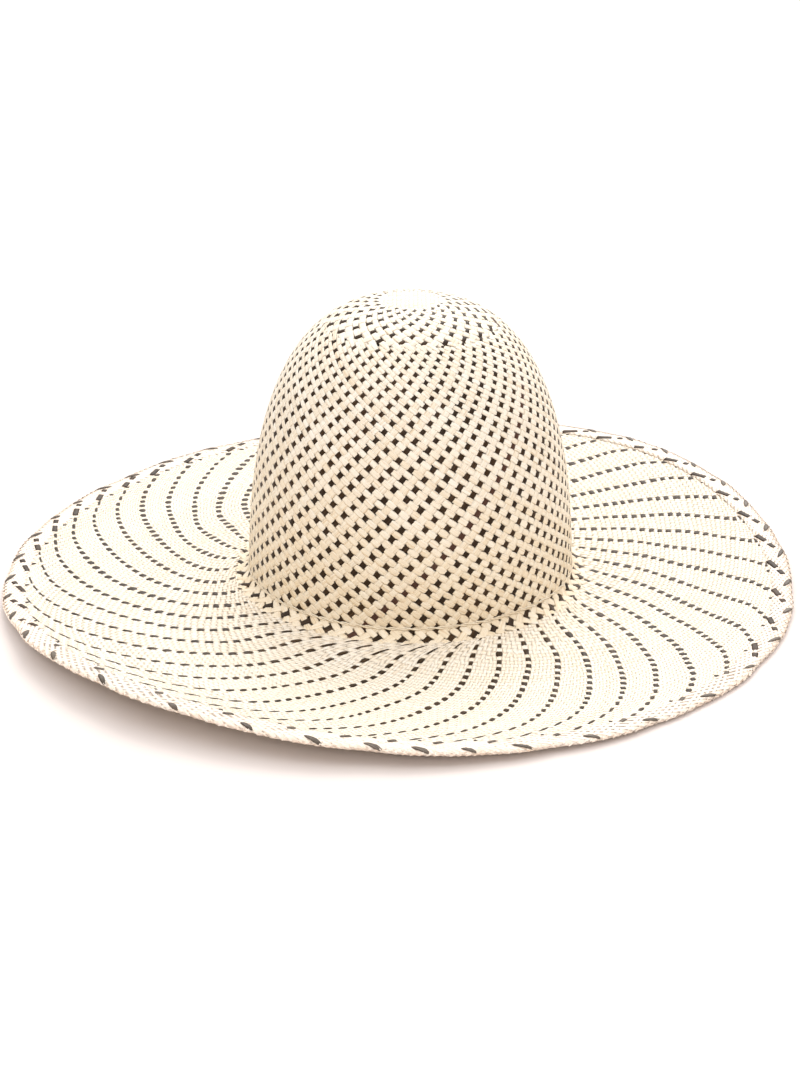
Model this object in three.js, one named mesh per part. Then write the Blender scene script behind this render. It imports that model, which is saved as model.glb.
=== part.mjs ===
// Woven straw sun hat: a tall round crown, a wide waved brim and a turned-back brim edge.
// Millimetres, +Z up. The origin is under the centre of the brim, on the surface the hat
// rests on: the brim edge touches that surface at its two lowest stretches.

import * as THREE from 'three';
import * as BufferGeometryUtils from 'three/addons/utils/BufferGeometryUtils.js';

// ---- driving dimensions -------------------------------------------------------------
const BRIM_RADIUS = 225.0;        // outer radius of the whole hat
const EDGE_WIDTH = 10.5;          // radial width of the turned-back border
const EDGE_THICKNESS = 3.0;       // border: two layers of weave
const WALL = 1.8;                 // one layer of weave, crown and brim
const GAP = 0.3;                  // clearance between neighbouring pieces

const CROWN_OFFSET_X = 7.0;       // crown axis, to the right of the brim's centre
const CROWN_OFFSET_Y = -2.0;      // and a little to its front
const CROWN_HEIGHT = 159.0;       // from the brim's upper surface to the top of the dome
const CROWN_RADIUS = 87.6;        // dome radius before its taper
const CROWN_TAPER = 0.064;        // how much wider the foot is than the shoulder
const DOME_POWER_R = 2.73;        // roundness of the top
const DOME_POWER_Z = 2.58;        // roundness of the shoulder
const FOOT_BEND = 5.5;            // radius of the bend from crown into brim

const FOOT_LEVEL = 4.4;           // middle of the wall where the brim leaves the crown
const BRIM_BEND_POWER = 1.35;     // how the wave grows from the crown to the edge

const CROWN_SEGMENTS = 60;
const BRIM_SEGMENTS = 96;

// Height of the underside of the brim edge above the rest surface, around the hat, as a sum
// of waves of the azimuth (from +X, towards +Y). Where the sum is below zero, it lies flat.
const EDGE_MEAN_HEIGHT = 5.8;
const EDGE_WAVES = [
  { wave: 1, cosine: 1.9, sine: 0.8 },
  { wave: 2, cosine: -2.3, sine: 7.4 },
  { wave: 3, cosine: 1.0, sine: 1.0 },
  { wave: 4, cosine: -2.0, sine: 0.1 },
];

// Heights up the dome where it gets a ring, as the angle from the pole in degrees.
const DOME_RINGS = [
  { pole_angle: 0 }, { pole_angle: 3.5 }, { pole_angle: 8 }, { pole_angle: 14 },
  { pole_angle: 21 }, { pole_angle: 29 }, { pole_angle: 37 }, { pole_angle: 45 },
  { pole_angle: 53 }, { pole_angle: 61 }, { pole_angle: 69 }, { pole_angle: 76 },
  { pole_angle: 82 }, { pole_angle: 86 },
];

// Heights in the bend at the crown's foot, above the brim's upper surface.
const FOOT_RINGS = [{ above_brim: 5.5 }, { above_brim: 2.6 }, { above_brim: 0.8 }, { above_brim: 0.0 }];

// Cross-section of the border: distance in from the rim and height from its middle, as
// shares of its width and half its thickness. The underside is flat.
const EDGE_SECTION = [
  { inward: 0.00, height: -0.30 }, { inward: 0.00, height: 0.45 }, { inward: 0.10, height: 0.88 },
  { inward: 0.25, height: 1.00 }, { inward: 0.80, height: 1.00 }, { inward: 1.00, height: 0.62 },
  { inward: 1.00, height: -0.62 }, { inward: 0.80, height: -1.00 }, { inward: 0.12, height: -1.00 },
];

// ---- shape functions ----------------------------------------------------------------
function edgeHeight(azimuth) {
  let h = EDGE_MEAN_HEIGHT;
  for (const w of EDGE_WAVES) h += w.cosine * Math.cos(w.wave * azimuth) + w.sine * Math.sin(w.wave * azimuth);
  return Math.max(0, h);
}

const CROWN_FOOT_RADIUS = CROWN_RADIUS * (1 + CROWN_TAPER) + FOOT_BEND;

// Middle surface of the brim and its edge at a point in plan.
function brimLevel(x, y) {
  const azimuth = Math.atan2(y, x);
  const fromCrown = Math.hypot(x - CROWN_OFFSET_X, y - CROWN_OFFSET_Y) - CROWN_FOOT_RADIUS;
  const toBorder = Math.max(0, BRIM_RADIUS - EDGE_WIDTH - Math.hypot(x, y));
  const share = Math.min(1, Math.max(0, fromCrown / (fromCrown + toBorder)));
  const rim = edgeHeight(azimuth) + EDGE_THICKNESS / 2;
  return FOOT_LEVEL + (rim - FOOT_LEVEL) * Math.pow(share, BRIM_BEND_POWER);
}

// Radius of the dome's outer surface at a height over the brim's upper surface.
function domePoint(poleAngle) {
  const a = THREE.MathUtils.degToRad(poleAngle);
  const z = CROWN_HEIGHT * Math.pow(Math.cos(a), 2 / DOME_POWER_Z);
  const r = CROWN_RADIUS * Math.pow(Math.sin(a), 2 / DOME_POWER_R) * (1 + CROWN_TAPER * (1 - z / CROWN_HEIGHT));
  return new THREE.Vector2(r, z);
}

function footPoint(aboveBrim) {
  const z = aboveBrim;
  const wall = CROWN_RADIUS * Math.pow(1 - Math.pow(z / CROWN_HEIGHT, DOME_POWER_Z), 1 / DOME_POWER_R)
    * (1 + CROWN_TAPER * (1 - z / CROWN_HEIGHT));
  const bend = FOOT_BEND - Math.sqrt(FOOT_BEND ** 2 - (FOOT_BEND - z) ** 2);
  return new THREE.Vector2(wall + bend, z);
}

// ---- geometry helpers ---------------------------------------------------------------
// A lathe about +Z from a profile of (radius, height) points, as one closed indexed mesh.
function turn(profile, segments) {
  const lathe = new THREE.LatheGeometry(profile, segments);
  lathe.rotateX(Math.PI / 2);
  lathe.deleteAttribute('normal');
  lathe.deleteAttribute('uv');
  const merged = BufferGeometryUtils.mergeVertices(lathe, 1e-4);
  const index = merged.getIndex().array;
  const kept = [];
  for (let i = 0; i < index.length; i += 3) {
    const [a, b, c] = [index[i], index[i + 1], index[i + 2]];
    if (a !== b && b !== c && c !== a) kept.push(a, b, c);
  }
  merged.setIndex(kept);
  return merged;
}

// Lifts each point of a flat ring by the level of the brim there.
function wave(geometry) {
  const p = geometry.getAttribute('position');
  for (let i = 0; i < p.count; i++) {
    p.setZ(i, p.getZ(i) + brimLevel(p.getX(i), p.getY(i)));
  }
  return geometry;
}

function finish(geometry) {
  geometry.computeVertexNormals();
  return geometry;
}

// ---- crown --------------------------------------------------------------------------
function crownGeometry() {
  const outer = [...DOME_RINGS.map((ring) => domePoint(ring.pole_angle)), ...FOOT_RINGS.map((ring) => footPoint(ring.above_brim))];
  // The inner wall is the outer one moved in along its own normal.
  const inner = outer.map((p, i) => {
    if (i === 0) return new THREE.Vector2(0, p.y - WALL);
    if (i === outer.length - 1) return new THREE.Vector2(p.x, p.y - WALL);
    const along = outer[i + 1].clone().sub(outer[i - 1]).normalize();
    return new THREE.Vector2(p.x + along.y * WALL, p.y - along.x * WALL);
  });
  const brimTop = FOOT_LEVEL + WALL / 2;
  const profile = [...inner, ...outer.reverse()].map((p) => new THREE.Vector2(p.x, p.y + brimTop));
  return finish(turn(profile, CROWN_SEGMENTS));
}

// ---- brim ---------------------------------------------------------------------------
// A ring whose hole is round the crown and whose outside is round the brim's own centre, so
// its rings slide from one centre to the other.
function brimGeometry() {
  const inside = CROWN_FOOT_RADIUS + GAP;
  const outside = BRIM_RADIUS - EDGE_WIDTH - GAP;
  const shares = [0, 0.25, 0.5, 0.75, 1];
  const at = (s) => inside + (outside - inside) * s;
  const upper = shares.map((s) => new THREE.Vector2(at(s), WALL / 2));
  const under = shares.map((s) => new THREE.Vector2(at(s), -WALL / 2)).reverse();
  const profile = [...under, ...upper, under[0].clone()].reverse();
  const ring = turn(profile, BRIM_SEGMENTS);
  const p = ring.getAttribute('position');
  for (let i = 0; i < p.count; i++) {
    const r = Math.hypot(p.getX(i), p.getY(i));
    const pull = (outside - r) / (outside - inside);
    p.setXY(i, p.getX(i) + CROWN_OFFSET_X * pull, p.getY(i) + CROWN_OFFSET_Y * pull);
  }
  return finish(wave(ring));
}

// ---- brim edge ----------------------------------------------------------------------
function edgeGeometry() {
  const section = EDGE_SECTION.map((row) => new THREE.Vector2(
    BRIM_RADIUS - row.inward * EDGE_WIDTH, row.height * EDGE_THICKNESS / 2));
  const profile = [...section, section[0].clone()];
  const ring = turn(profile, BRIM_SEGMENTS);
  const p = ring.getAttribute('position');
  for (let i = 0; i < p.count; i++) {
    const azimuth = Math.atan2(p.getY(i), p.getX(i));
    p.setZ(i, p.getZ(i) + edgeHeight(azimuth) + EDGE_THICKNESS / 2);
  }
  return finish(ring);
}

// ---- assembly -----------------------------------------------------------------------
const straw = (color, roughness) => new THREE.MeshStandardMaterial({ color, roughness, metalness: 0 });

const hat = new THREE.Group();

const crown = new THREE.Mesh(crownGeometry(), straw(0xfae8cc, 0.75));
crown.name = 'crown';
crown.position.set(CROWN_OFFSET_X, CROWN_OFFSET_Y, 0);
hat.add(crown);

const brim = new THREE.Mesh(brimGeometry(), straw(0xfef8e9, 0.75));
brim.name = 'brim';
hat.add(brim);

const brimEdge = new THREE.Mesh(edgeGeometry(), straw(0xf6ead2, 0.75));
brimEdge.name = 'brim_edge';
hat.add(brimEdge);

export default hat;
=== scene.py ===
import math

import bpy
import numpy as np
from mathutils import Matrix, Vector


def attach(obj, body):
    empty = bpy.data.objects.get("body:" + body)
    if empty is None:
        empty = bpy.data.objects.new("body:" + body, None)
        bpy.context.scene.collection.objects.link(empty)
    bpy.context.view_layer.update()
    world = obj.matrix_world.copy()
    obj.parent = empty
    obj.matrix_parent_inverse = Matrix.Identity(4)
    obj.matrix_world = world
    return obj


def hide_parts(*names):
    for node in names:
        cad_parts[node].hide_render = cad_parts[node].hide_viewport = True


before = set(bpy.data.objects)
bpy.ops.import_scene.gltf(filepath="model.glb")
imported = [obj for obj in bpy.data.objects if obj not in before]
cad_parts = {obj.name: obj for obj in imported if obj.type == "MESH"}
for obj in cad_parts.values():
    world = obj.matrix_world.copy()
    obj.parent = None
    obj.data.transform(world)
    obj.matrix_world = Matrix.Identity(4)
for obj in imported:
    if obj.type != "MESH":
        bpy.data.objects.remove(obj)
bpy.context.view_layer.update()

MM = 0.001

# ---- sizes of the hat, in mm, as the CAD part has them --------------------------------
BRIM_RADIUS = 225.0
EDGE_WIDTH = 10.5
EDGE_THICKNESS = 3.0
WALL = 1.8
CROWN_X, CROWN_Y = 7.0, -2.0
CROWN_HEIGHT = 159.0
CROWN_RADIUS = 87.6
CROWN_TAPER = 0.064
POWER_R, POWER_Z = 2.73, 2.58
FOOT_BEND = 5.5
FOOT_LEVEL = 4.4
BRIM_BEND_POWER = 1.35
EDGE_MEAN_HEIGHT = 5.8
EDGE_WAVES = [  # wave, cosine, sine
    (1, 1.9, 0.8),
    (2, -2.3, 7.4),
    (3, 1.0, 1.0),
    (4, -2.0, 0.1),
]
FOOT_RADIUS = CROWN_RADIUS * (1 + CROWN_TAPER) + FOOT_BEND
BORDER_RADIUS = BRIM_RADIUS - EDGE_WIDTH

ARMS = 44  # dark strands round the hat


# ---- the surface that the weave lies on -----------------------------------------------
def edge_height(azimuth):
    h = EDGE_MEAN_HEIGHT + 0 * azimuth
    for k, c, s in EDGE_WAVES:
        h = h + c * np.cos(k * azimuth) + s * np.sin(k * azimuth)
    return np.maximum(0, h)


def brim_level(x, y):
    """Middle of the brim's wall at a point in plan."""
    from_crown = np.hypot(x - CROWN_X, y - CROWN_Y) - FOOT_RADIUS
    to_border = np.maximum(0, BORDER_RADIUS - np.hypot(x, y))
    share = np.clip(from_crown / (from_crown + to_border + 1e-9), 0, 1)
    rim = edge_height(np.arctan2(y, x)) + EDGE_THICKNESS / 2
    return FOOT_LEVEL + (rim - FOOT_LEVEL) * share**BRIM_BEND_POWER


def crown_profile():
    """Arc length from the pole, radius and height over the brim's upper surface, along the crown's outside."""
    a = np.radians(np.linspace(0, 90, 3001))
    z = CROWN_HEIGHT * np.cos(a) ** (2 / POWER_Z)
    r = CROWN_RADIUS * np.sin(a) ** (2 / POWER_R) * (1 + CROWN_TAPER * (1 - z / CROWN_HEIGHT))
    up = z > FOOT_BEND
    zf = np.linspace(FOOT_BEND, 0, 200)
    wall = CROWN_RADIUS * (1 - (zf / CROWN_HEIGHT) ** POWER_Z) ** (1 / POWER_R)
    wall = wall * (1 + CROWN_TAPER * (1 - zf / CROWN_HEIGHT))
    rf = wall + FOOT_BEND - np.sqrt(FOOT_BEND**2 - (FOOT_BEND - zf) ** 2)
    r, z = np.r_[r[up], rf], np.r_[z[up], zf]
    s = np.r_[0, np.cumsum(np.hypot(np.diff(r), np.diff(z)))]
    return s, r, z


PROFILE_S, PROFILE_R, PROFILE_Z = crown_profile()
FOOT_S = PROFILE_S[-1]
BRIM_WIDTH = BORDER_RADIUS - FOOT_RADIUS


def brim_point(share, azimuth):
    """Point on the brim's middle surface. share is 0 at the crown's foot and 1 at the border; past 1 it goes on to the
    rim, and below 0 up the bend into the crown."""
    share = np.asarray(share, float) + 0 * azimuth
    r = FOOT_RADIUS * (1 - share) + BORDER_RADIUS * share
    pull = np.clip(1 - share, 0, 1)
    x = CROWN_X * pull + r * np.cos(azimuth)
    y = CROWN_Y * pull + r * np.sin(azimuth)
    on_brim = np.stack([x, y, brim_level(x, y)], -1)
    s = FOOT_S + np.minimum(share, 0) * BRIM_WIDTH
    r = np.interp(s, PROFILE_S, PROFILE_R)
    z = np.interp(s, PROFILE_S, PROFILE_Z)
    dr = np.interp(s + 0.1, PROFILE_S, PROFILE_R) - np.interp(s - 0.4, PROFILE_S, PROFILE_R)
    dz = np.interp(s + 0.1, PROFILE_S, PROFILE_Z) - np.interp(s - 0.4, PROFILE_S, PROFILE_Z)
    tilt = np.hypot(dr, dz)
    r = r + dz / tilt * WALL / 2
    z = z - dr / tilt * WALL / 2 + FOOT_LEVEL + WALL / 2
    on_bend = np.stack([CROWN_X + r * np.cos(azimuth), CROWN_Y + r * np.sin(azimuth), z], -1)
    return np.where((share < 0)[..., None], on_bend, on_brim)


def crown_point(s, azimuth):
    """Point on the crown's outside; past its foot it goes on over the brim's upper side."""
    s = np.asarray(s, float) + 0 * azimuth
    r = np.interp(s, PROFILE_S, PROFILE_R)
    z = np.interp(s, PROFILE_S, PROFILE_Z)
    on_crown = np.stack([CROWN_X + r * np.cos(azimuth), CROWN_Y + r * np.sin(azimuth), z + FOOT_LEVEL + WALL / 2], -1)
    share = (s - FOOT_S) / (BORDER_RADIUS - FOOT_RADIUS)
    on_brim = brim_point(np.maximum(share, 0), azimuth) + np.array([0, 0, WALL / 2])
    return np.where((share > 0)[..., None], on_brim, on_crown)


def normals(point, s, azimuth, ds):
    """Outward unit normals of a surface point(s, azimuth), by differences."""
    a = point(s + ds, azimuth) - point(s - ds, azimuth)
    b = point(s, azimuth + 1e-3) - point(s, azimuth - 1e-3)
    n = np.cross(a, b)
    return n / np.maximum(np.linalg.norm(n, axis=-1, keepdims=True), 1e-12)


# ---- how the strands run --------------------------------------------------------------
# Crown: azimuth of strand number i at arc length s is 2 pi i / 44, plus a polynomial of
# x = (s - 130) / 80, plus slow waves round the hat where the weaver's spacing varies.
RISING = {  # leans like "/" seen from the front; every second one is dark
    "turn": (-1.5888, -0.8823, -0.0360, -0.1970, -0.0229, 0.1317),
    "cos1": (-0.1284, -0.0216, 0.0929),
    "sin1": (-0.0341, 0.0102, -0.0264),
    "cos2": (0.0165, -0.0324, -0.0458),
    "sin2": (-0.0505, -0.0085, 0.0611),
}
FALLING = {  # leans like "\"; all cream
    "turn": (-1.5257, 1.2561, -0.1051, 0.3369, -0.0458, -0.1901),
    "cos1": (-0.0567, 0.0684, 0.0967),
    "sin1": (-0.0230, -0.0544, -0.0189),
    "cos2": (0.0032, 0.0399, -0.0212),
    "sin2": (-0.0265, 0.0201, 0.0874),
}
TOP_S = 50.0  # above this ring there are half as many strands
TOP_TURN = {"rising": -0.0275, "falling": 0.0285}  # radians of azimuth per mm up there
ROSETTE_S = 16.5


def poly(c, x):
    return sum(k * x**n for n, k in enumerate(c))


def crown_azimuth(family, i, s):
    low = np.maximum(s, TOP_S)
    x = (low - 130) / 80
    base = 2 * np.pi * i / ARMS + poly(family["turn"], x)
    out = base + poly(family["cos1"], x) * np.cos(base) + poly(family["sin1"], x) * np.sin(base)
    out = out + poly(family["cos2"], x) * np.cos(2 * base) + poly(family["sin2"], x) * np.sin(2 * base)
    turn = TOP_TURN["rising" if family is RISING else "falling"]
    return out + turn * (np.minimum(s, TOP_S) - TOP_S)


def crown_number(family, azimuth, s):
    """Which strand, as a real number, passes an azimuth at arc length s."""
    i = azimuth * ARMS / (2 * np.pi)
    for _ in range(14):
        i = i + 0.9 * (azimuth - crown_azimuth(family, i, s)) * ARMS / (2 * np.pi)
    return i


# Brim: azimuth of arm k at a share of the brim's width: Chebyshev terms of 2 share - 1 by slow waves.
ARM_WAVES = [  # constant, cos1, sin1, cos2, sin2 ... cos6, sin6, for each Chebyshev term
    (-3.9123, 0.0165, 0.0875, -0.0201, -0.0014, 0.0190, -0.0128, 0.0032, -0.0006, 0.0018, 0.0017, 0.0040, -0.0023),
    (-0.3282, -0.0909, -0.0884, -0.0108, -0.0020, 0.0094, 0.0191, -0.0028, 0.0140, 0.0062, 0.0021, -0.0068, 0.0032),
    (-0.0212, 0.0013, -0.0617, 0.0120, -0.0070, 0.0152, 0.0050, -0.0070, 0.0056, 0.0033, -0.0030, 0.0031, -0.0008),
    (-0.0090, 0.0234, -0.0131, 0.0117, 0.0219, -0.0046, 0.0181, -0.0125, -0.0015, 0.0039, -0.0035, 0.0000, 0.0043),
    (-0.0031, -0.0042, -0.0008, -0.0045, -0.0010, 0.0001, -0.0008, 0.0002, -0.0029, 0.0054, -0.0005, 0.0052, 0.0042),
    (-0.0033, 0.0060, -0.0070, 0.0029, 0.0038, -0.0002, 0.0066, -0.0029, -0.0020, 0.0000, 0.0015, -0.0031, 0.0046),
]


def wave_table(seed, columns, amount):
    """Slow random unevenness, one row for each arm, for looking up between arms as well."""
    r = np.random.default_rng(seed).standard_normal((ARMS, columns))
    r = (r + 0.5 * np.roll(r, 1, 0) + 0.5 * np.roll(r, -1, 0)) / 1.22
    return r * amount


def look_up(table, k, share):
    x = np.clip(share, 0, 1) * (table.shape[1] - 1)
    c0 = np.minimum(x.astype(int), table.shape[1] - 2)
    fx = smooth(x - c0)
    row = np.floor(k).astype(int)
    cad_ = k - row
    r0, r1 = row % ARMS, (row + 1) % ARMS
    near = table[r0, c0] * (1 - fx) + table[r0, c0 + 1] * fx
    far = table[r1, c0] * (1 - fx) + table[r1, c0 + 1] * fx
    return near * (1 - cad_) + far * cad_


def smooth(x):
    x = np.clip(x, 0, 1)
    return x * x * (3 - 2 * x)


ARM_WANDER = wave_table(3, 7, 0.035)  # in arms
BEAT_WANDER = wave_table(4, 12, 0.11)  # in beats


def waves(row, w):
    out = row[0] + 0 * w
    for n in range(1, (len(row) + 1) // 2):
        out = out + row[2 * n - 1] * np.cos(n * w) + row[2 * n] * np.sin(n * w)
    return out


END_TURN = 0.028  # radians that the arms stop short of the border's first strands


def arm_azimuth(k, share):
    k = np.asarray(k, float) + 0 * share
    share = np.asarray(share, float) + 0 * k
    w = 2 * np.pi * k / ARMS
    x = 2 * np.clip(share, 0, 1) - 1
    term, before = x, np.ones_like(x)
    out = w + waves(ARM_WAVES[0], w)
    slope = 0 * w
    for n in range(1, len(ARM_WAVES)):
        row = waves(ARM_WAVES[n], w)
        out = out + row * term
        slope = slope + row * 2 * n * n * np.sign(x) ** (n + 1)  # at the ends, for going past them
        term, before = 2 * x * term - before, term
    past = share - np.clip(share, 0, 1)
    out = out + slope * past - END_TURN * smooth((share - 0.86) / 0.14)
    return out + look_up(ARM_WANDER, k, share) * 2 * np.pi / ARMS


BEAT_WAVES = [  # beats for each unit of share, by power of share: constant, cos1, sin1 ... cos3, sin3
    (14.89, 5.09, -2.99, 3.07, 3.98, 1.57, 1.99),
    (17.62, -4.94, 8.47, -3.53, 1.82, -1.65, -1.19),
    (-9.23, -3.72, 2.78, -2.12, -2.52, -1.05, -1.17),
    (2.00, -2.62, -0.07, -0.13, -3.57, -0.25, -0.77),
    (7.68, -2.24, -0.66, 1.11, -3.48, 0.19, -0.43),
]


def arm_beats(k, share):
    """How many times arm k has come to the surface between the crown and this share."""
    k = np.asarray(k, float) + 0 * share
    share = np.asarray(share, float) + 0 * k
    w = 2 * np.pi * k / ARMS
    # in front the first two come sooner
    out = 0.75 * smooth((share + 0.012) / 0.09) * np.exp(2.0 * (np.cos(w - 2.34) - 1))
    for power, row in enumerate(BEAT_WAVES):
        out = out + waves(row, w) * share ** (power + 1) / (power + 1)
    return out + look_up(BEAT_WANDER, k, share)


# ---- meshes from arrays ---------------------------------------------------------------
SECTIONS = {  # across the strand: place from its middle in half widths, height in half thicknesses; the last ones are its underside
    "flat": [(-1.0, -0.30), (-0.62, 0.80), (0.62, 0.80), (1.0, -0.30), (0.0, -0.95)],
    "ridge": [(-1.0, -1.50), (-0.52, 0.62), (0.52, 0.62), (1.0, -1.50), (0.0, -1.70)],
    "fine": [(-1.0, -0.35), (0.0, 1.0), (1.0, -0.35)],
}
TOP_FACES = {3: [True, True, False], 5: [True, True, True, False, False]}


class Bundle:
    """Strands gathered into one mesh: closed tapes along curves."""

    def __init__(self, name):
        self.name = name
        self.v, self.lay, self.quads, self.tris, self.tint, self.smooth = [], [], [], [], [], []
        self.count = 0
        self.strands = 0

    def tape(self, centre, normal, half_width, half_thick, height, section="flat", seed=0.0, tint=0.0):
        """centre and normal are n by 3; half_width, height are n long; all in mm."""
        n = len(centre)
        if n < 2:
            return
        along = np.gradient(centre, axis=0)
        along /= np.maximum(np.linalg.norm(along, axis=1, keepdims=True), 1e-12)
        side = np.cross(normal, along)
        side /= np.maximum(np.linalg.norm(side, axis=1, keepdims=True), 1e-12)
        up = np.cross(along, side)
        shape = np.array(SECTIONS[section])
        m = len(shape)
        mid = centre + up * height[:, None]
        half_thick = np.broadcast_to(half_thick, (n,))
        p = (mid[:, None, :]
             + side[:, None, :] * (half_width[:, None] * shape[None, :, 0])[:, :, None]
             + up[:, None, :] * (half_thick[:, None] * shape[None, :, 1])[:, :, None])
        run = np.r_[0, np.cumsum(np.linalg.norm(np.diff(centre, axis=0), axis=1))]
        lay = np.zeros((n, m, 3))
        lay[:, :, 0] = run[:, None]
        lay[:, :, 1] = half_width[:, None] * shape[None, :, 0]
        lay[:, :, 2] = seed
        a = self.count + np.arange(n * m).reshape(n, m)
        b = np.roll(a, -1, axis=1)
        q = np.stack([a[:-1], b[:-1], b[1:], a[1:]], -1).reshape(-1, 4)
        self.quads.append(q)
        self.smooth.append(np.tile(TOP_FACES[m], n - 1))
        for ring in (a[0][::-1], a[-1]):
            if m == 3:
                self.tris.append(ring[None, :])
            else:
                self.quads.append(ring[None, :4])
                self.smooth.append(np.array([False]))
                self.tris.append(ring[None, [0, 3, 4]])
        self.v.append(p.reshape(-1, 3))
        self.lay.append(lay.reshape(-1, 3))
        self.tint.append(np.full(n * m, tint) if np.isscalar(tint) else np.repeat(tint, m))
        self.count += n * m
        self.strands += 1

    def triangles(self):
        return 2 * sum(len(q) for q in self.quads) + sum(len(t) for t in self.tris)

    def build(self, material, slot, replaces=()):
        v = np.concatenate(self.v) * MM
        quads = np.concatenate(self.quads)
        tris = np.concatenate(self.tris) if self.tris else np.zeros((0, 3), int)
        mesh = bpy.data.meshes.new(self.name)
        mesh.vertices.add(len(v))
        mesh.vertices.foreach_set("co", v.astype(np.float32).ravel())
        loops = np.r_[quads.ravel(), tris.ravel()].astype(np.int32)
        mesh.loops.add(len(loops))
        mesh.loops.foreach_set("vertex_index", loops)
        starts = np.r_[np.arange(len(quads)) * 4, len(quads) * 4 + np.arange(len(tris)) * 3].astype(np.int32)
        mesh.polygons.add(len(starts))
        mesh.polygons.foreach_set("loop_start", starts)
        mesh.update(calc_edges=True)
        round_faces = np.r_[np.concatenate(self.smooth), np.zeros(len(tris), bool)]
        mesh.polygons.foreach_set("use_smooth", round_faces.astype(bool))
        lay = mesh.attributes.new("lay", "FLOAT_VECTOR", "POINT")
        lay.data.foreach_set("vector", np.concatenate(self.lay).astype(np.float32).ravel())
        tint = mesh.attributes.new("tint", "FLOAT", "POINT")
        tint.data.foreach_set("value", np.concatenate(self.tint).astype(np.float32))
        mesh.validate()
        ob = bpy.data.objects.new(self.name, mesh)
        bpy.context.scene.collection.objects.link(ob)
        mesh.materials.append(material)
        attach(ob, "root")
        if replaces:
            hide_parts(*replaces)
        print(self.name, self.strands, "strands", self.triangles(), "triangles")
        return ob


def arch(x):
    """Over and under, as a strip of straw bends: a cosine with flattened tops."""
    c = np.cos(x)
    return c * (1.32 - 0.32 * c * c)


rng = np.random.default_rng(20)


def resample(t, phase, per_beat):
    """Values of t where phase steps evenly, per_beat steps for each unit of it, so that each over and each under gets its own points."""
    if phase[-1] < phase[0]:
        phase = -phase
    n = max(2, int(round((phase[-1] - phase[0]) * per_beat)) + 1)
    first = math.ceil(phase[0] * per_beat)
    marks = np.arange(first, phase[-1] * per_beat) / per_beat
    marks = np.r_[phase[0], marks[(marks > phase[0] + 0.3 / per_beat) & (marks < phase[-1] - 0.3 / per_beat)], phase[-1]]
    return np.interp(marks, phase, t)


# ---- crown ----------------------------------------------------------------------------
CROWN_SINK = 0.75  # the weave's middle below the solid's outside
CROWN_LIFT = 0.26
CROWN_THICK = 0.24


def uneven(s, amount, length):
    """Slow unevenness along one strand."""
    a, b, c = rng.uniform(0, 2 * np.pi, 3)
    return amount * (np.sin(2 * np.pi * s / length + a) + 0.7 * np.sin(2 * np.pi * s / (length * 0.47) + b)
                     + 0.4 * np.sin(2 * np.pi * s / (length * 0.23) + c)) / 1.3


def over_spread(s, azimuth):
    """How much wider a falling strand is where it lies on top."""
    tight = np.interp(s, [0, 50, 85, 115, 140, 165, 190, 212], [0.10, 0.12, 0.06, 0.06, 0.11, 0.18, 0.19, 0.18])
    front = (azimuth + np.pi / 2 + 0.07 + np.pi) % (2 * np.pi) - np.pi
    return tight + 0.10 * np.exp(-((s - 157) / 16) ** 2 - (front / 0.22) ** 2)


def crown_strand(bundle, family, other, i, s0, s1, dark=False):
    rising = family is RISING
    s = np.linspace(s0, s1, 500)
    half = crown_number(other, crown_azimuth(family, i, s), s)
    run = np.cumsum(np.abs(np.gradient(half)) * np.where(s > TOP_S, 2, 1))
    s = resample(s, run, 3)
    drift = uneven(s, 0.035, 52) * smooth((s - ROSETTE_S) / 10)
    az = crown_azimuth(family, i + drift, s)
    across = crown_number(other, az, s)
    low = arch(2 * np.pi * (across + i)) * (1 if rising else -1)
    # above the ring, strands with whole numbers only, alternating by number
    top = arch(np.pi * (across + i)) * (1 if rising else -1)
    w = smooth((s - (TOP_S - 1.5)) / 3.0)
    over = top * (1 - w) + low * w
    p = crown_point(s, az)
    n = normals(crown_point, s, az, 0.2)
    q = crown_point(s, crown_azimuth(family, i + drift + 0.25, s)) - crown_point(s, crown_azimuth(family, i + drift - 0.25, s))
    t = np.gradient(p, axis=0)
    t /= np.linalg.norm(t, axis=1, keepdims=True)
    gap = np.linalg.norm(q - (q * t).sum(1, keepdims=True) * t, axis=1)  # spacing of half a number
    gap = gap * (1 + smooth((TOP_S + 1.5 - s) / 3.0))
    slim = np.interp(s, [0, 44, 56, 85, 115, 140], [0.86, 0.86, 0.92, 1.0, 1.05, 1.06])
    if dark:
        part = 0.92 * slim * (1 + 0.04 * over)
    elif rising:
        part = (1.04 + 0.5 * (1 - slim)) * (1 + 0.05 * over)
    else:
        part = 0.96 * (1 + over_spread(s, az) * over)
    part = part * (1 + 0.04 * rng.standard_normal() + uneven(s, 0.05, 37))
    sink = 0.75 * smooth((s - (CROWN_END - 2.6)) / 2.6)
    if s0 > ROSETTE_S:
        sink = sink + 0.5 * (1 - smooth((s - s0) / 2.5))
    height = (0.75 * CROWN_LIFT * over - 0.04 if dark else CROWN_LIFT * over) - sink
    bundle.tape(p - n * CROWN_SINK, n, 0.5 * gap * part, CROWN_THICK, height,
                "ridge" if dark else "flat", seed=float(rng.uniform(0, 50)), tint=float(rng.uniform(0, 1)))


crown_dark = Bundle("crown_dark_strands")
crown_russet = Bundle("crown_russet_strand")
crown_cream_rising = Bundle("crown_cream_rising")
crown_cream_falling = Bundle("crown_cream_falling")


TWINE_S = FOOT_S - 7.7
CROWN_END = FOOT_S + 2.8
RUSSET = 4  # one dark strand took less dye
TOP_START = ROSETTE_S - 1.5
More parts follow.
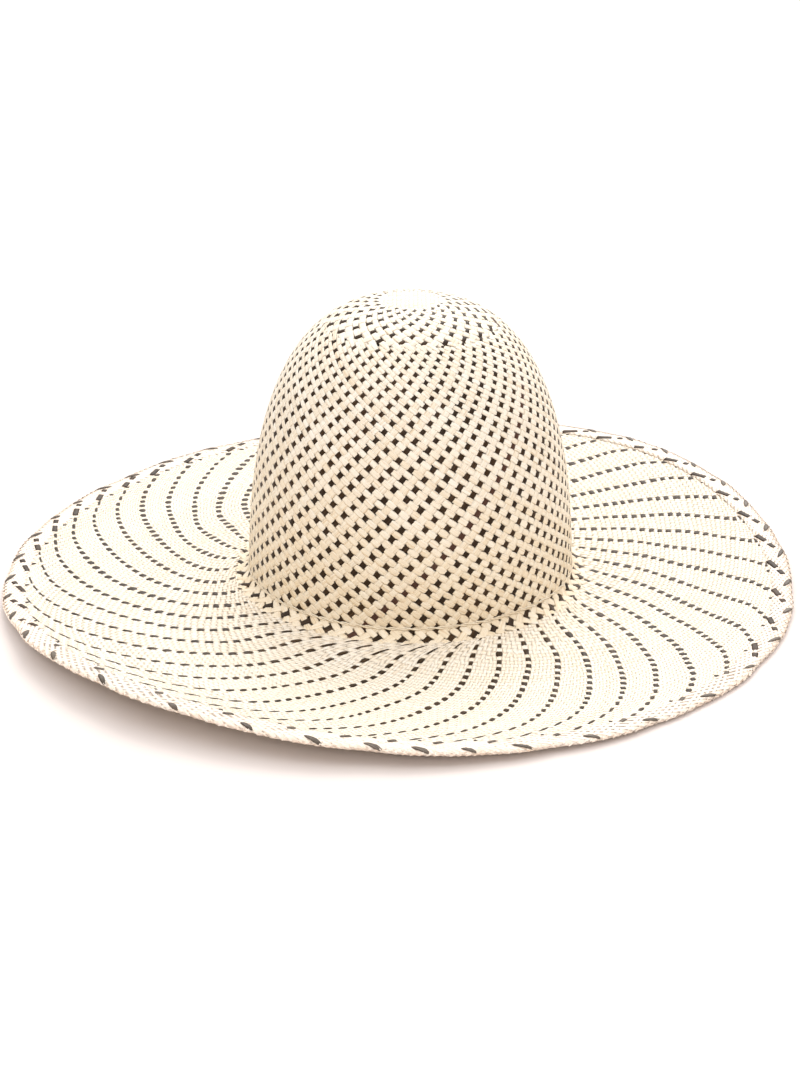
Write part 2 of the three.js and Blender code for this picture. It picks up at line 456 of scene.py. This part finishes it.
# lower part: 44 dark and 44 cream rising strands, 88 falling ones; above the ring half as many
for number in range(ARMS):
    if number % 2 == 0:
        crown_strand(crown_russet if number == RUSSET else crown_dark, RISING, FALLING, number, TOP_START, CROWN_END, dark=True)
    else:
        crown_strand(crown_dark, RISING, FALLING, number, TOP_S + 1.0, CROWN_END, dark=True)
        crown_strand(crown_cream_rising, RISING, FALLING, number, TOP_START, TOP_S + 1.5)
    crown_strand(crown_cream_rising, RISING, FALLING, number + 0.5, TOP_S + rng.uniform(-2, 1), CROWN_END)
    crown_strand(crown_cream_falling, FALLING, RISING, number, TOP_START, CROWN_END)
    crown_strand(crown_cream_falling, FALLING, RISING, number + 0.5, TOP_S + rng.uniform(-2, 1), CROWN_END)

# the thin twined line round the crown's foot
foot_twine = Bundle("crown_foot_twine")
for turn in (0, 1):
    az = np.linspace(0, 2 * np.pi, 880)
    phase = az * ARMS * 1.0 + turn * np.pi
    s = TWINE_S + 0.45 * np.sin(phase) + 0.3 * np.sin(3 * az + 1)
    p = crown_point(s, az)
    n = normals(crown_point, s, az, 0.2)
    foot_twine.tape(p - n * 0.35, n, np.full(len(az), 0.50), 0.20, 0.10 + 0.20 * np.cos(phase), "fine", seed=3.0 + turn, tint=0.3)

# rounds that lie under the crown's last strands where the brim's begin
for s in (-1.6, 0.0, 1.5, 3.0, 4.4):
    az = np.linspace(0, 2 * np.pi, 353)
    share = s / BRIM_WIDTH + 0 * az
    p = brim_point(share, az)
    n = normals(brim_point, share, az, 1e-3)
    foot_twine.tape(p - n * 0.30, n, np.full(len(az), 1.0), 0.12, 0.03 * np.sin(88 * az + s), "fine", seed=9.0 + s, tint=0.4)

# the plain centre: a small square weave, cut round
rosette = Bundle("crown_rosette")
ROSETTE_PITCH = 2.3
reach = ROSETTE_S + 1.2


def top_point(x, y):
    s = np.hypot(x, y)
    az = np.arctan2(y, x)
    return crown_point(s, az), normals(crown_point, np.maximum(s, 0.3), az, 0.2)


for row in range(-8, 9):
    c = row * ROSETTE_PITCH
    if abs(c) >= reach - 1:
        continue
    end = math.sqrt(reach**2 - c**2)
    t = np.linspace(-end, end, max(4, int(2 * end / ROSETTE_PITCH * 3)))
    for across in (0, 1):
        x, y = (t, np.full_like(t, c)) if across == 0 else (np.full_like(t, c), t)
        p, n = top_point(x, y)
        h = CROWN_LIFT * arch(np.pi * (t / ROSETTE_PITCH + row)) * (1 if across == 0 else -1)
        h = h - 0.5 * smooth((np.abs(t) - (end - 3)) / 3)
        rosette.tape(p - n * (CROWN_SINK - 0.1), n, np.full(len(t), ROSETTE_PITCH * 0.5), 0.24, h, "flat",
                     seed=float(rng.uniform(0, 50)), tint=float(rng.uniform(0, 1)))

# ---- brim -----------------------------------------------------------------------------
BRIM_LIFT = 0.145
BRIM_THICK = 0.135



def dark_share(share):
    """Width of a dark strand, in cream ones."""
    return np.interp(share, [0.0, 0.03, 0.06, 0.1, 0.3, 0.6, 1.0], [0.9, 0.75, 0.80, 0.95, 1.30, 1.65, 1.70])


BRIM_RAISE = 0.15  # the weave's middle above the solid's middle
FIRST_MORE, SECOND_MORE = 0.20, 0.50  # shares of the brim where each arm gains two strands
MORE_OVER = 0.05
ROWS = [  # strands of one arm's width that are there, in each of the three zones
    {"present": (0, 1, 2, 7, 8)},
    {"present": (0, 1, 2, 3, 4, 7, 8)},
    {"present": (0, 1, 2, 3, 4, 5, 6, 7, 8)},
]
BRIM_FROM, BRIM_TO = 0.0, 1.015


def zone_weights(share):
    a = smooth((share - FIRST_MORE) / MORE_OVER)
    b = smooth((share - SECOND_MORE) / MORE_OVER)
    return 1 - a, a * (1 - b), b


def strand_place(q, share):
    """Where strand q of an arm's width lies in that width, -0.1 to 0.9, and its width as a part of it."""
    place = 0 * share
    width = 0 * share
    for w, row in zip(zone_weights(share), ROWS):
        present = row["present"]
        dark_part = dark_share(share)
        total = len(present) - 1 + dark_part
        before = sum(1 for p in present if 0 < p < q)
        if q == 0:
            at, wide = 0.0, dark_part / total
        else:
            at = (dark_part / 2 + before + (0.5 if q in present else 0.0)) / total
            wide = (1 if q in present else 0.15) / total
        place = place + w * at
        width = width + w * wide
    return place, width


def brim_surface(share, azimuth):
    return brim_point(share, azimuth)


def brim_normals(share, azimuth):
    return normals(brim_point, share, azimuth, 1e-3)


def brim_tape(bundle, k, share, width_part, height, thick, section, seed, tint, fill=1.0, lift=0.0):
    az = arm_azimuth(k, share)
    p = brim_point(share, az)
    n = brim_normals(share, az)
    q = (brim_point(share, arm_azimuth(k + 0.05, share)) - brim_point(share, arm_azimuth(k - 0.05, share))) * 10
    t = np.gradient(p, axis=0)
    t /= np.linalg.norm(t, axis=1, keepdims=True)
    gap = np.linalg.norm(q - (q * t).sum(1, keepdims=True) * t, axis=1)
    bundle.tape(p + n * (BRIM_RAISE + lift), n, 0.5 * fill * gap * width_part, thick, height, section, seed=seed, tint=tint)


brim_dark = Bundle("brim_dark_strands")
brim_arms = [Bundle("brim_cream_arms_a"), Bundle("brim_cream_arms_b")]
brim_rounds = [Bundle("brim_cream_rounds_a"), Bundle("brim_cream_rounds_b")]

for arm in range(ARMS):
    for q in range(9):
        start = BRIM_FROM
        if q in (3, 4):
            start = FIRST_MORE - 0.01
        if q in (5, 6):
            start = SECOND_MORE - 0.01
        share = np.linspace(start, BRIM_TO, 400)
        place, part = strand_place(q, share)
        k = arm + place
        beat = 2 * (arm_beats(k, share) - k)
        share = resample(share, beat, 3 if q == 0 else 2)
        place, part = strand_place(q, share)
        k = arm + place
        beat = 2 * (arm_beats(k, share) - k)
        over = arch(np.pi * (beat + q + arm))
        part = part * (1 + 0.04 * rng.standard_normal() + uneven(share * 120, 0.05, 33))
        sink = 0.45 * (1 - smooth((share - BRIM_FROM) / 0.020))
        if q == 0:
            sink = sink + 0.5 * smooth((share - 0.975) / 0.02)
            part = part * (1 + uneven(share * 120, 0.14, 31)) * (1 + 0.20 * rng.uniform(-1.3, 0.5) * smooth((share - 0.25) / 0.3))
            front = np.exp(1.5 * (np.cos(2 * np.pi * k / ARMS - 2.34) - 1))
            part = part * (1 - (0.26 + 0.16 * front) * np.exp(-((share - 0.90) / 0.15) ** 2))
            part = part * (1 + 0.28 * (1 - front) - 0.20 * front * (1 - smooth(share / 0.3)))
            brim_tape(brim_dark, k, share, part * (1 + 0.12 * over), BRIM_LIFT * over * 1.5 - sink + 0.05 - 0.13 * (1 - smooth((share - 0.02) / 0.08)),
                      BRIM_THICK * 1.1, "flat",
                      float(rng.uniform(0, 50)), float(rng.uniform(0, 1)), fill=1.0)
        else:
            brim_tape(brim_arms[arm % 2], k, share, part, BRIM_LIFT * over - sink, BRIM_THICK, "fine",
                      float(rng.uniform(0, 50)), float(rng.uniform(0, 1)), fill=1.32)


def arm_count(k, share):
    """Arm strands passed by arm number k, as a real number, for each zone: whole at the middle of a strand."""
    whole = np.floor(k)
    f = k - whole
    dark_part = dark_share(share)
    counts = []
    for row in ROWS:
        n = len(row["present"])
        x = f * (n - 1 + dark_part)
        # strands' middles lie at 0, dark_part / 2 + 0.5, + 1.5 ..., and the next arm's at the end
        first = dark_part / 2 + 0.5
        last = dark_part / 2 + n - 1.5
        count = np.where(x < first, x / first, np.where(x > last, n - 1 + (x - last) / first, 1 + x - first))
        counts.append(count + whole * n)
    return counts


def round_strand(j, k, share):
    w = zone_weights(share)
    run = np.cumsum(np.r_[0, np.diff(k)] * (5 * w[0] + 7 * w[1] + 9 * w[2]))
    # steps at the middles of the arm strands in each zone, so that each over and under has its own points
    marks = resample(k, run, 2)
    share = np.interp(marks, k, share)
    k = marks
    w = zone_weights(share)
    height = 0
    for weight, count in zip(w, arm_count(k, share)):
        height = height - weight * arch(np.pi * (count + j))
    az = arm_azimuth(k, share)
    p = brim_point(share, az)
    n = brim_normals(share, az)
    # spacing to the next round strand
    rate = (arm_beats(k, share + 0.002) - arm_beats(k, share - 0.002)) / 0.004
    step = 0.5 / rate
    q = brim_point(share + step / 2, arm_azimuth(k, share + step / 2)) - brim_point(share - step / 2, arm_azimuth(k, share - step / 2))
    t = np.gradient(p, axis=0)
    t /= np.linalg.norm(t, axis=1, keepdims=True)
    gap = np.linalg.norm(q - (q * t).sum(1, keepdims=True) * t, axis=1)
    sink = 0.45 * (1 - smooth((share - BRIM_FROM) / 0.020))
    part = 1.28 * (1 + 0.04 * rng.standard_normal() + uneven(k * 12, 0.06, 40)) * (1 + 0.06 * height)
    brim_rounds[j % 2].tape(p + n * BRIM_RAISE, n, 0.5 * part * gap, BRIM_THICK, BRIM_LIFT * height - sink, "fine",
                            seed=float(rng.uniform(0, 50)), tint=float(rng.uniform(0, 1)))


for j in range(2 * ARMS):
    # the round strand j follows arm_beats(k) - k = j / 2, from the crown outward
    k = np.linspace(-j / 2 - 2, -j / 2 + 40, 4201)
    lo, hi = np.full_like(k, BRIM_FROM - 0.03), np.full_like(k, BRIM_TO + 0.03)
    for _ in range(30):
        mid = (lo + hi) / 2
        more = arm_beats(k, mid) - k < j / 2
        lo, hi = np.where(more, mid, lo), np.where(more, hi, mid)
    share = (lo + hi) / 2
    on = np.flatnonzero((share > BRIM_FROM) & (share < BRIM_TO))
    for piece in np.split(on, np.flatnonzero(np.diff(on) > 1) + 1):
        if len(piece) > 40:
            round_strand(j, k[piece], share[piece])

# ---- border ---------------------------------------------------------------------------
edge_cream = Bundle("edge_cream_braid")
edge_dark = Bundle("edge_dark_strands")
edge_lip = Bundle("edge_lip_strands")
EDGE_PATH = [  # section of the border's middle surface: way along it, distance in from the rim, height from the border's middle
    (0.0, 12.6, 0.15),
    (2.0, 10.6, 0.75),
    (4.5, 8.2, 1.05),
    (8.0, 4.8, 1.10),
    (10.8, 2.1, 0.98),
    (12.2, 0.85, 0.50),
    (13.2, 0.45, -0.15),
    (14.2, 0.95, -0.75),
    (15.8, 2.5, -1.05),
    (20.0, 6.6, -1.10),
    (24.0, 10.4, -0.95),
]
EDGE_RUN = np.array([r[0] for r in EDGE_PATH])
EDGE_IN = np.array([r[1] for r in EDGE_PATH])
EDGE_UP = np.array([r[2] for r in EDGE_PATH])


def edge_point(run, azimuth):
    inward = np.interp(run, EDGE_RUN, EDGE_IN)
    up = np.interp(run, EDGE_RUN, EDGE_UP)
    ripple = 0.45 * np.sin(17 * azimuth + 1) + 0.30 * np.sin(29 * azimuth + 2) + 0.2 * np.sin(47 * azimuth)
    r = BRIM_RADIUS - inward - 0.4 + ripple * np.clip(1 - inward / 9, 0, 1)
    z = edge_height(azimuth) + EDGE_THICKNESS / 2 + up
    return np.stack([r * np.cos(azimuth), r * np.sin(azimuth), z], -1)


def edge_normals(run, azimuth):
    return normals(edge_point, run, azimuth, 0.35)


EDGE_ACROSS = 6  # strands of each direction for each arm
INWARD_LEAN, OUTWARD_LEAN = -2.5, 2.0  # how far round a strand goes for each mm outward
EDGE_START = 2.6  # way along the section where a dark strand first comes up
ARM_ENDS = np.unwrap([float(arm_azimuth(float(k), 1.0)) for k in range(ARMS + 1)]) + END_TURN


def border_azimuth(k):
    """Azimuth at which strand k, in arms, crosses the start line of the border."""
    turns = np.floor(k / ARMS)
    return np.interp(k - turns * ARMS, np.arange(ARMS + 1), ARM_ENDS) + 2 * np.pi * turns


def border_number(azimuth):
    turns = np.floor((azimuth - ARM_ENDS[0]) / (2 * np.pi))
    return np.interp(azimuth - 2 * np.pi * turns, ARM_ENDS, np.arange(ARMS + 1)) + ARMS * turns


def edge_strand(bundle, k, lean, other_lean, first, last, over=None, fill=1.0, thick=0.12, step=1.0, section="fine", tint=None):
    run = np.linspace(first, last, max(4, int((last - first) / step) + 1))
    az = border_azimuth(k) + lean * (run - EDGE_START) / BRIM_RADIUS
    p = edge_point(run, az)
    n = edge_normals(run, az)
    pitch = 2 * np.pi * BRIM_RADIUS / ARMS / EDGE_ACROSS
    if over is None:
        other = border_number(az - other_lean * (run - EDGE_START) / BRIM_RADIUS) * EDGE_ACROSS
        height = 0.06 * arch(np.pi * (other + k * EDGE_ACROSS)) * (1 if lean < 0 else -1)
    else:
        height = over(run)
    width = 0.5 * pitch * fill / math.hypot(1, lean) * (1 + uneven(run, 0.05, 15))
    bundle.tape(p, n, width * np.ones(len(run)), thick, height, section,
                seed=float(rng.uniform(0, 50)), tint=float(rng.uniform(0, 1)) if tint is None else tint)


def window(x, middle, half, soft=0.5):
    return smooth((half + soft / 2 - np.abs(x - middle)) / soft)


def lip_leaf(k, middle, reach):
    """A dark strand where it shows round the lip: a leaf, pointed where it goes under."""
    t = np.linspace(-1, 1, 17)
    run = middle + reach * t
    az = border_azimuth(k) + OUTWARD_LEAN * (run - EDGE_START) / BRIM_RADIUS
    width = (1.25 + 0.12 * rng.standard_normal()) * (1 - t * t) ** 0.75 + 0.08
    edge_lip.tape(edge_point(run, az), edge_normals(run, az), width, 0.16, 0.62 * (1 - t**4) - 0.02, "flat",
                  seed=float(rng.uniform(0, 50)), tint=float(rng.uniform(0, 1)))


# the brim's strands, turned in under the braid
for run, half in ([(r, 1.15) for r in (0.8, 2.6, 4.4, 6.2, 8.0, 9.6)] + [(r, 0.55) for r in (10.9, 11.7, 12.5, 13.3, 14.1, 14.9)]
                  + [(r, 1.15) for r in (16.3, 18.2, 20.1, 22.0)]):
    az = np.linspace(0, 2 * np.pi, 321)
    way = run + 0.10 * np.sin(7 * az + run)
    edge_cream.tape(edge_point(way, az), edge_normals(way, az), np.full(len(az), half), 0.10, np.full(len(az), -0.26), "fine",
                    seed=float(rng.uniform(0, 50)), tint=float(rng.uniform(0, 1)))
for number in range(ARMS * EDGE_ACROSS):
    k = number / EDGE_ACROSS
    plain = number % EDGE_ACROSS != 0
    edge_strand(edge_cream, k, INWARD_LEAN, OUTWARD_LEAN, 0.2 if plain else 8.2, 23.8, fill=1.25)
    edge_strand(edge_cream, k, OUTWARD_LEAN, INWARD_LEAN, 0.2, 23.8, fill=1.25)
for arm in range(ARMS):
    # the arm's dark strand runs on over the border, up twice, and then turns in
    big, small = 1.75 * rng.uniform(0.75, 1.15), 0.95 * rng.uniform(0.7, 1.2)
    # arms in front take the lighter grey straw of the lip strands, painted sheen where light glances off them
    in_front = math.sin(float(border_azimuth(float(arm)))) < -0.45
    edge_strand(edge_lip if in_front else edge_dark, arm - 0.17, INWARD_LEAN, OUTWARD_LEAN, -0.9, 10.0, fill=1.25 if in_front else 1.6,
                thick=0.17, step=0.3, section="flat",
                over=lambda run: -0.45 + 0.74 * window(run, 2.9, big * (0.6 if in_front else 1), 0.9)
                + 0.72 * window(run, 6.9, small, 0.7) * (0 if in_front else 1))
    # another comes round the lip the other way
    lip = rng.uniform(-0.4, 0.4)
    reach = 2.6 * rng.uniform(0.72, 1.1)
    lip_leaf(arm - 1.25 + rng.uniform(-0.06, 0.06), 10.4 + 0.6 * lip, reach)
    # and shows as a dot between two arms, where it ends on the brim
    size = rng.uniform(0.8, 1.2)
    t = np.linspace(-1, 1, 7)
    share = 0.980 + 0.011 * size * t
    az = border_azimuth(arm) - 0.061 + 0.004 * size * t
    p = brim_point(share, az)
    n = normals(brim_point, share, az, 1e-3)
    edge_dark.tape(p + n * BRIM_RAISE, n, 1.05 * size * np.sqrt(1.05 - t * t), 0.2, 0.34 * (1 - t**4) - 0.08, "flat",
                   seed=float(rng.uniform(0, 50)), tint=float(rng.uniform(0, 1)))

# ---- materials ------------------------------------------------------------------------


def node(tree, kind, **inputs):
    n = tree.nodes.new(kind)
    for k, v in inputs.items():
        n.inputs[k].default_value = v
    return n


def math_node(tree, op, a, b=None):
    n = tree.nodes.new("ShaderNodeMath")
    n.operation = op
    for i, x in enumerate((a, b)):
        if x is None:
            continue
        if isinstance(x, (int, float)):
            n.inputs[i].default_value = x
        else:
            tree.links.new(x, n.inputs[i])
    return n.outputs[0]


def mix_colour(tree, factor, a, b, blend="MIX"):
    n = tree.nodes.new("ShaderNodeMix")
    n.data_type = "RGBA"
    n.blend_type = blend
    if isinstance(factor, (int, float)):
        n.inputs[0].default_value = factor
    else:
        tree.links.new(factor, n.inputs[0])
    for i, x in ((6, a), (7, b)):
        if isinstance(x, tuple):
            n.inputs[i].default_value = (*x, 1)
        else:
            tree.links.new(x, n.inputs[i])
    return n.outputs[2]


def ramp(tree, value, low, high, to_low=0.0, to_high=1.0):
    n = tree.nodes.new("ShaderNodeMapRange")
    n.inputs["From Min"].default_value = low
    n.inputs["From Max"].default_value = high
    n.inputs["To Min"].default_value = to_low
    n.inputs["To Max"].default_value = to_high
    tree.links.new(value, n.inputs["Value"])
    return n.outputs["Result"]


def straw(name, light, warm, streak, roughness, painted_low_shade=None, fibre=0.35, grain=1.0, splits=0.55, gloss=0.30):
    """Strips of straw: fine lines and streaks along each strip, strips that differ in tone."""
    m = bpy.data.materials.new(name)
    m.use_nodes = True
    t = m.node_tree
    bsdf = t.nodes["Principled BSDF"]
    lay = t.nodes.new("ShaderNodeAttribute")
    lay.attribute_name = "lay"
    tint = t.nodes.new("ShaderNodeAttribute")
    tint.attribute_name = "tint"
    sep = t.nodes.new("ShaderNodeSeparateXYZ")
    t.links.new(lay.outputs["Vector"], sep.inputs[0])
    along, across, seed = sep.outputs

    def stretched(a, b, detail):
        comb = t.nodes.new("ShaderNodeCombineXYZ")
        t.links.new(math_node(t, "MULTIPLY", along, a), comb.inputs[0])
        t.links.new(math_node(t, "MULTIPLY", across, b), comb.inputs[1])
        t.links.new(seed, comb.inputs[2])
        noise = node(t, "ShaderNodeTexNoise", Scale=1.0, Detail=detail, Roughness=0.6)
        t.links.new(comb.outputs[0], noise.inputs["Vector"])
        return noise.outputs["Fac"]

    coarse = stretched(0.03, 1.5, 2.0)
    split = stretched(0.012, 1.2, 1.0)
    fine = stretched(0.16, 5.2, 3.0)
    patch = stretched(0.10, 0.15, 2.0)
    c = mix_colour(t, ramp(t, coarse, 0.35, 0.70), light, warm)
    c = mix_colour(t, ramp(t, fine, 0.56, 0.74, 0.0, 0.55), c, streak)
    c = mix_colour(t, ramp(t, patch, 0.45, 0.75, 0.0, 0.45), c, warm)
    # a strip is made of a few fibres side by side
    line = ramp(t, math_node(t, "ABSOLUTE", math_node(t, "SUBTRACT", split, 0.5)), 0.0, 0.03, splits, 0.0)
    c = mix_colour(t, line, c, streak)
    # strips that differ
    own = ramp(t, tint.outputs["Fac"], 0.0, 1.0, 0.0, 0.5)
    c = mix_colour(t, own, c, mix_colour(t, 1.0, c, warm, "MULTIPLY"))
    # painted shade: the straw is tinted warmer and darker towards the hat's foot, for the warm light bounced up from
    # the brim and the lesser light from above
    if painted_low_shade is not None:
        pos = t.nodes.new("ShaderNodeTexCoord")
        z = t.nodes.new("ShaderNodeSeparateXYZ")
        t.links.new(pos.outputs["Object"], z.inputs[0])
        low_shade_weight = ramp(t, z.outputs[2], 0.115, 0.015, 0.0, 1.0)
        c = mix_colour(t, low_shade_weight, c, mix_colour(t, 1.0, c, painted_low_shade, "MULTIPLY"))
    t.links.new(c, bsdf.inputs["Base Color"])
    t.links.new(ramp(t, fine, 0.3, 0.8, roughness - 0.08, roughness + 0.12), bsdf.inputs["Roughness"])
    bump = node(t, "ShaderNodeBump", Strength=fibre, Distance=0.00012 * grain)
    t.links.new(fine, bump.inputs["Height"])
    t.links.new(bump.outputs["Normal"], bsdf.inputs["Normal"])
    bsdf.inputs["Specular IOR Level"].default_value = gloss
    return m


def lin(r, g, b):
    return tuple((x / 255 / 12.92) if x / 255 <= 0.04045 else ((x / 255 + 0.055) / 1.055) ** 2.4 for x in (r, g, b))


# the crown's straw carries painted shade, warmer and darker near its foot
cream_crown = straw("crown straw", lin(244, 242, 235), lin(243, 234, 218), lin(220, 200, 170), 0.50, painted_low_shade=lin(255, 249, 239), splits=0.9)
cream_brim = straw("brim straw", lin(245, 240, 230), lin(244, 233, 216), lin(236, 219, 196), 0.52, splits=0.3)
cream_edge = straw("border straw", lin(248, 241, 233), lin(246, 232, 218), lin(240, 220, 200), 0.52, splits=0.3)
dark = straw("dyed straw", lin(58, 38, 16), lin(40, 26, 12), lin(112, 86, 62), 0.42, fibre=0.6, gloss=0.20)
# painted sheen: the dark strands round the lip, and the arms' strands over the border in front, get a lighter grey
# straw that stands in for the grey sheen where light glances off them
lip_straw_painted_sheen = straw("dyed straw at the lip with painted sheen", lin(106, 96, 86), lin(80, 68, 57), lin(150, 138, 126), 0.42, fibre=0.6, gloss=0.25)
russet = straw("faded dyed straw", lin(96, 62, 46), lin(76, 50, 42), lin(140, 108, 94), 0.42, fibre=0.6, gloss=0.20)

crown_dark.build(dark, "dark_straw")
crown_russet.build(russet, "dark_straw")
crown_cream_rising.build(cream_crown, "crown_weave")
crown_cream_falling.build(cream_crown, "crown_weave", ["crown"])
rosette.build(cream_crown, "crown_weave")
foot_twine.build(cream_crown, "crown_weave")
brim_dark.build(dark, "dark_straw")
for b in brim_arms:
    b.build(cream_brim, "brim_weave")
for n, b in enumerate(brim_rounds):
    b.build(cream_brim, "brim_weave", ["brim"] if n == 0 else ())
edge_cream.build(cream_edge, "edge_weave", ["brim_edge"])
edge_dark.build(dark, "dark_straw")
edge_lip.build(lip_straw_painted_sheen, "dark_straw")

# ---- stage, light, camera -------------------------------------------------------------
floor_mesh = bpy.data.meshes.new("floor")
floor_mesh.from_pydata([(-6, -6, 0), (6, -6, 0), (6, 6, 0), (-6, 6, 0)], [], [(0, 1, 2, 3)])
floor = bpy.data.objects.new("floor", floor_mesh)
bpy.context.scene.collection.objects.link(floor)
floor.location.z = -0.0006
pale = bpy.data.materials.new("pale floor")
pale.use_nodes = True
pale.node_tree.nodes["Principled BSDF"].inputs["Base Color"].default_value = (0.75, 0.69, 0.67, 1)
pale.node_tree.nodes["Principled BSDF"].inputs["Roughness"].default_value = 0.9
floor_mesh.materials.append(pale)

world = bpy.data.worlds.new("soft studio")
bpy.context.scene.world = world
world.use_nodes = True
wt = world.node_tree
sky = wt.nodes["Background"]
direction = wt.nodes.new("ShaderNodeTexCoord")
height = wt.nodes.new("ShaderNodeSeparateXYZ")
wt.links.new(direction.outputs["Generated"], height.inputs[0])
# brighter above and behind than in front
rise = math_node(wt, "ADD", height.outputs[2], math_node(wt, "MULTIPLY", height.outputs[1], 0.25))
wt.links.new(mix_colour(wt, ramp(wt, rise, 0.12, 0.95), (0.345, 0.263, 0.195), (1.52, 1.52, 1.52)), sky.inputs[0])
sky.inputs[1].default_value = 1.0

sun_data = bpy.data.lights.new("broad overhead light", "SUN")
sun_data.energy = 1.8
sun_data.angle = math.radians(45)
sun_data.color = (1, 0.99, 0.97)
sun = bpy.data.objects.new("broad overhead light", sun_data)
sun.rotation_mode = "QUATERNION"
sun.rotation_quaternion = Vector((-0.25, -1.1, -1)).to_track_quat("-Z", "Y")
bpy.context.scene.collection.objects.link(sun)


def area_light(name, place, target, size, power, colour=(1, 1, 1)):
    data = bpy.data.lights.new(name, "AREA")
    data.shape = "DISK"
    data.size = size
    data.energy = power
    data.color = colour
    ob = bpy.data.objects.new(name, data)
    ob.location = place
    ob.rotation_mode = "QUATERNION"
    ob.rotation_quaternion = (Vector(target) - Vector(place)).to_track_quat("-Z", "Y")
    bpy.context.scene.collection.objects.link(ob)
    return ob


area_light("front fill", (0.1, -2.45, 1.4), (0, 0, 0.08), 1.0, 18.5, (1.0, 0.98, 0.94))
area_light("left fill", (-1.7, -0.5, 1.9), (0, 0, 0.08), 1.2, 4.0)
area_light("right fill", (1.7, -0.5, 1.9), (0, 0, 0.08), 1.2, 4.0)

PHOTO_W, PHOTO_H = 800, 1067
PX = 0.577 * MM  # size of a photo pixel at the crown's foot
ELEVATION = math.radians(24.31)
AIM_X, AIM_Y = 398.2, 563.0  # where the hat's centre falls in the photo
aim = Vector((0, 0, (FOOT_LEVEL + WALL / 2) * MM))
distance = 2000 * PX
camera_data = bpy.data.cameras.new("camera")
camera_data.sensor_width = 36
camera_data.lens = 36 * 2000 / PHOTO_H
camera_data.shift_x = (PHOTO_W / 2 - AIM_X) / PHOTO_H
camera_data.shift_y = (AIM_Y - PHOTO_H / 2) / PHOTO_H
camera_data.clip_end = 100
camera = bpy.data.objects.new("camera", camera_data)
back = Vector((0, -math.cos(ELEVATION), math.sin(ELEVATION)))
camera.location = aim + back * distance
camera.rotation_mode = "QUATERNION"
camera.rotation_quaternion = (-back).to_track_quat("-Z", "Y")
bpy.context.scene.collection.objects.link(camera)
bpy.context.scene.camera = camera
bpy.context.scene.view_settings.view_transform = "Standard"
bpy.context.scene.view_settings.exposure = 0.0
